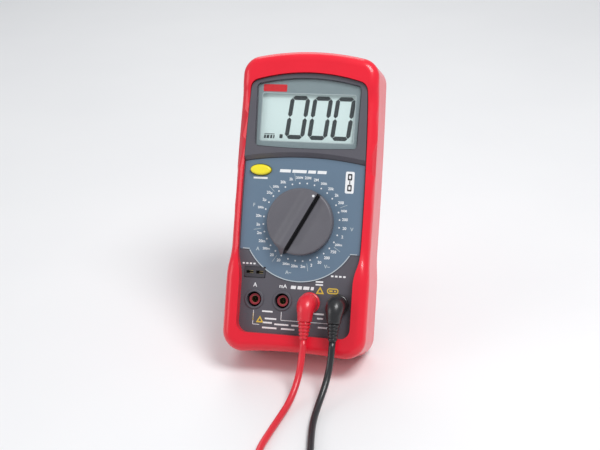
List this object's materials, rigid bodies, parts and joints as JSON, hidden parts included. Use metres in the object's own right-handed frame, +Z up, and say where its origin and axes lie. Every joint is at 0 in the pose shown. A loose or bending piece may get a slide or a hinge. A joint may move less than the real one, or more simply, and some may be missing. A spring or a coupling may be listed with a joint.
{
  "type": "digital multimeter",
  "caption": "Handheld digital multimeter in a glossy rubber holster on its tilt stand, with a range knob, display, power button, input sockets and two plugged-in test leads with probes.",
  "frame": {"origin": "on the table, under the middle of the meter standing on its tilt stand, leads left out", "axes": "+Z up, the meter faces -Y and leans back 30 degrees, +X to the right of someone facing it"},
  "size_m": [0.123, 0.2889, 0.1694],
  "materials": {
    "holster_rubber": "glossy flexible rubber",
    "case_plastic": "fine moulded texture",
    "stand_plastic": "moulded",
    "door_plastic": "fine moulded texture",
    "panel_print": "printed film",
    "clear_window": "clear polished plastic",
    "lcd": "liquid crystal display",
    "inner_plastic": "moulded",
    "zebra_rubber": "striped conductive rubber",
    "circuit_board": "solder mask",
    "chip_plastic": "moulded",
    "components": "lacquered",
    "brass": "turned and plated",
    "plated_steel": "zinc plated",
    "shield_metal": "rolled foil",
    "fuse_ceramic": "glazed tube with metal caps",
    "shunt_metal": "bare resistance wire",
    "buzzer_plastic": "moulded",
    "battery_case": "printed steel jacket",
    "snap_plastic": "moulded",
    "button_yellow": "moulded",
    "plunger_plastic": "moulded acetal",
    "knob_plastic": "fine moulded texture",
    "red_insulation": "glossy flexible plastic",
    "black_insulation": "glossy flexible plastic",
    "tie_plastic": "wire tie"
  },
  "bodies": {
    "root": {"holster": "holster_rubber", "rear_case": "case_plastic", "front_case": "case_plastic", "component_socket": "case_plastic", "battery_door": "door_plastic", "dial_overlay": "panel_print", "lcd_window": "clear_window", "lcd_glass": "lcd", "lcd_frame": "inner_plastic", "board_connector": "inner_plastic", "zebra_strips": "zebra_rubber", "main_board": "circuit_board", "display_board": "circuit_board", "converter_chip": "chip_plastic", "power_switch": "chip_plastic", "capacitors": "components", "resistors": "components", "input_sockets": "brass", "socket_contacts": "brass", "case_screws": "plated_steel", "board_screws": "plated_steel", "battery_door_screw": "plated_steel", "switch_spring": "plated_steel", "fuse_clips": "plated_steel", "red_probe_tip": "plated_steel", "black_probe_tip": "plated_steel", "shield_plate": "shield_metal", "fuses": "fuse_ceramic", "shunt_wire": "shunt_metal", "buzzer": "buzzer_plastic", "battery": "battery_case", "battery_snap": "snap_plastic", "battery_leads": "snap_plastic", "red_lead": "red_insulation", "red_lead_coil": "red_insulation", "red_probe_relief": "red_insulation", "red_probe_handle": "red_insulation", "red_socket_collars": "red_insulation", "black_lead": "black_insulation", "black_lead_coil": "black_insulation", "black_probe_relief": "black_insulation", "black_probe_handle": "black_insulation", "black_socket_collar": "black_insulation", "red_coil_tie": "tie_plastic", "black_coil_tie": "tie_plastic"},
    "knob": {"range_knob": "knob_plastic", "switch_rotor": "plunger_plastic", "wiper_contacts": "brass", "click_balls": "plated_steel", "click_springs": "plated_steel"},
    "button": {"power_button": "button_yellow", "switch_plunger": "plunger_plastic"},
    "stand": {"tilt_stand": "stand_plastic"},
    "red_plug": {"red_plug_body": "red_insulation", "red_plug_pin": "brass", "red_plug_relief": "red_insulation"},
    "black_plug": {"black_plug_body": "black_insulation", "black_plug_pin": "brass", "black_plug_relief": "black_insulation"}
  },
  "joints": [
    {"name": "knob_turn", "type": "hinge", "parent": "root", "child": "knob", "pos_m": [0, -0.01833, 0.08245], "axis": [0, -0.866, 0.5], "continuous": true},
    {"name": "button_press", "type": "slide", "parent": "root", "child": "button", "axis": [0, 0.866, -0.5], "range_m": [0, 0.0025], "stiffness_N_per_m": 400, "deforming": ["switch_spring"]},
    {"name": "stand_fold", "type": "hinge", "parent": "root", "child": "stand", "pos_m": [0, 0.02387, 0.09504], "axis": [-1, 0, 0], "range_deg": [0, 35]},
    {"name": "red_plug_out", "type": "slide", "parent": "root", "child": "red_plug", "axis": [0, -0.866, 0.5], "range_m": [0, 0.022]},
    {"name": "black_plug_out", "type": "slide", "parent": "root", "child": "black_plug", "axis": [0, -0.866, 0.5], "range_m": [0, 0.022]}
  ]
}
